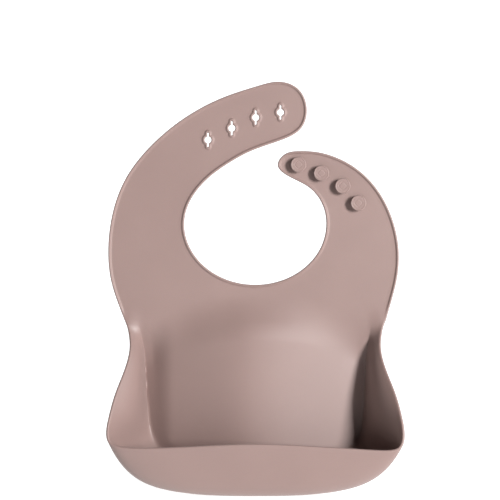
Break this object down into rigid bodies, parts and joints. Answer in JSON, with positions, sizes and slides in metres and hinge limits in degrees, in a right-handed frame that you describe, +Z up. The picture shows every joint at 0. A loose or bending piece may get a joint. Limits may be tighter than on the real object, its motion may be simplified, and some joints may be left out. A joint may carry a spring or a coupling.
{
  "type": "baby bib with pocket",
  "caption": "Soft silicone baby bib with a crumb-catcher pocket, a raised edge bead and an adjustable button-and-hole neck strap.",
  "frame": {"origin": "centre of the neck opening, on the back face of the collar", "axes": "+Z up when worn, +X to the viewer's right, front of the bib towards -Y"},
  "size_m": [0.2153, 0.0505, 0.3025],
  "materials": {
    "silicone": "matte"
  },
  "bodies": {
    "collar": {"collar_front": "silicone"},
    "hole_strap_1": {"hole_strap_1": "silicone"},
    "hole_strap_2": {"hole_strap_2": "silicone"},
    "hole_strap_3": {"hole_strap_3": "silicone"},
    "hole_strap_4": {"hole_strap_4": "silicone"},
    "hole_strap_5": {"hole_strap_5": "silicone", "buttonhole_lip_1": "silicone", "buttonhole_lip_2": "silicone", "buttonhole_lip_3": "silicone", "buttonhole_lip_4": "silicone"},
    "button_strap_1": {"button_strap_1": "silicone"},
    "button_strap_2": {"button_strap_2": "silicone"},
    "button_strap_3": {"button_strap_3": "silicone", "button_stud_1": "silicone", "button_stud_2": "silicone", "button_stud_3": "silicone", "button_stud_4": "silicone"},
    "lower": {"lower_panel": "silicone", "pocket_cheek_left": "silicone", "pocket_cheek_right": "silicone", "pocket_gutter": "silicone"},
    "pocket_front": {"pocket_front": "silicone"}
  },
  "joints": [
    {"name": "hole_strap_curl", "type": "hinge", "parent": "collar", "child": "hole_strap_1", "pos_m": [-0.07251, -0.001, -0.03381], "axis": [-0.8387, 0, -0.5446], "range_deg": [-6, 26.6], "stiffness_Nm_per_rad": 0.06},
    {"name": "hole_strap_bend_2", "type": "hinge", "parent": "hole_strap_1", "child": "hole_strap_2", "pos_m": [-0.0794, -0.001, -0.00975], "axis": [-0.9336, 0, -0.3584], "range_deg": [-6.28, 27.5], "stiffness_Nm_per_rad": 0.06},
    {"name": "hole_strap_bend_3", "type": "hinge", "parent": "hole_strap_2", "child": "hole_strap_3", "pos_m": [-0.07853, -0.001, 0.01527], "axis": [-0.9995, 0, -0.0314], "range_deg": [-5.49, 24], "stiffness_Nm_per_rad": 0.06},
    {"name": "hole_strap_bend_4", "type": "hinge", "parent": "hole_strap_3", "child": "hole_strap_4", "pos_m": [-0.06997, -0.001, 0.03879], "axis": [-0.9026, 0, 0.4305], "range_deg": [-4.18, 18.2], "stiffness_Nm_per_rad": 0.06},
    {"name": "hole_strap_bend_5", "type": "hinge", "parent": "hole_strap_4", "child": "hole_strap_5", "pos_m": [-0.05456, -0.001, 0.05851], "axis": [-0.6858, 0, 0.7278], "range_deg": [-2.99, 12.9], "stiffness_Nm_per_rad": 0.06},
    {"name": "button_strap_curl", "type": "hinge", "parent": "collar", "child": "button_strap_1", "pos_m": [0.07128, -0.001, -0.03632], "axis": [-0.9397, 0, 0.342], "range_deg": [-6, 31.2], "stiffness_Nm_per_rad": 0.06},
    {"name": "button_strap_bend_2", "type": "hinge", "parent": "button_strap_1", "child": "button_strap_2", "pos_m": [0.07825, -0.001, -0.01663], "axis": [-0.9986, 0, 0.0523], "range_deg": [-6.16, 31.6], "stiffness_Nm_per_rad": 0.06},
    {"name": "button_strap_bend_3", "type": "hinge", "parent": "button_strap_2", "child": "button_strap_3", "pos_m": [0.07995, -0.001, 0.00279], "axis": [-0.9781, 0, 0.2079], "range_deg": [-6.02, 30.9], "stiffness_Nm_per_rad": 0.06},
    {"name": "panel_fold", "type": "hinge", "parent": "collar", "child": "lower", "pos_m": [0, -0.001, -0.063], "axis": [-1, 0, 0], "range_deg": [-15, 100], "stiffness_Nm_per_rad": 0.1, "springref_deg": 8.02},
    {"name": "pocket_front_flex", "type": "hinge", "parent": "lower", "child": "pocket_front", "pos_m": [0, -0.0205, -0.1935], "axis": [1, 0, 0], "range_deg": [-6, 20], "stiffness_Nm_per_rad": 0.08, "springref_deg": -1.72}
  ],
  "couplings": [
    {"joint": "hole_strap_bend_2", "follows": "hole_strap_curl", "ratio": 1.0301},
    {"joint": "hole_strap_bend_3", "follows": "hole_strap_curl", "ratio": 0.8985},
    {"joint": "hole_strap_bend_4", "follows": "hole_strap_curl", "ratio": 0.68045},
    {"joint": "hole_strap_bend_5", "follows": "hole_strap_curl", "ratio": 0.4812},
    {"joint": "button_strap_bend_2", "follows": "button_strap_curl", "ratio": 1.0096},
    {"joint": "button_strap_bend_3", "follows": "button_strap_curl", "ratio": 0.98718}
  ]
}
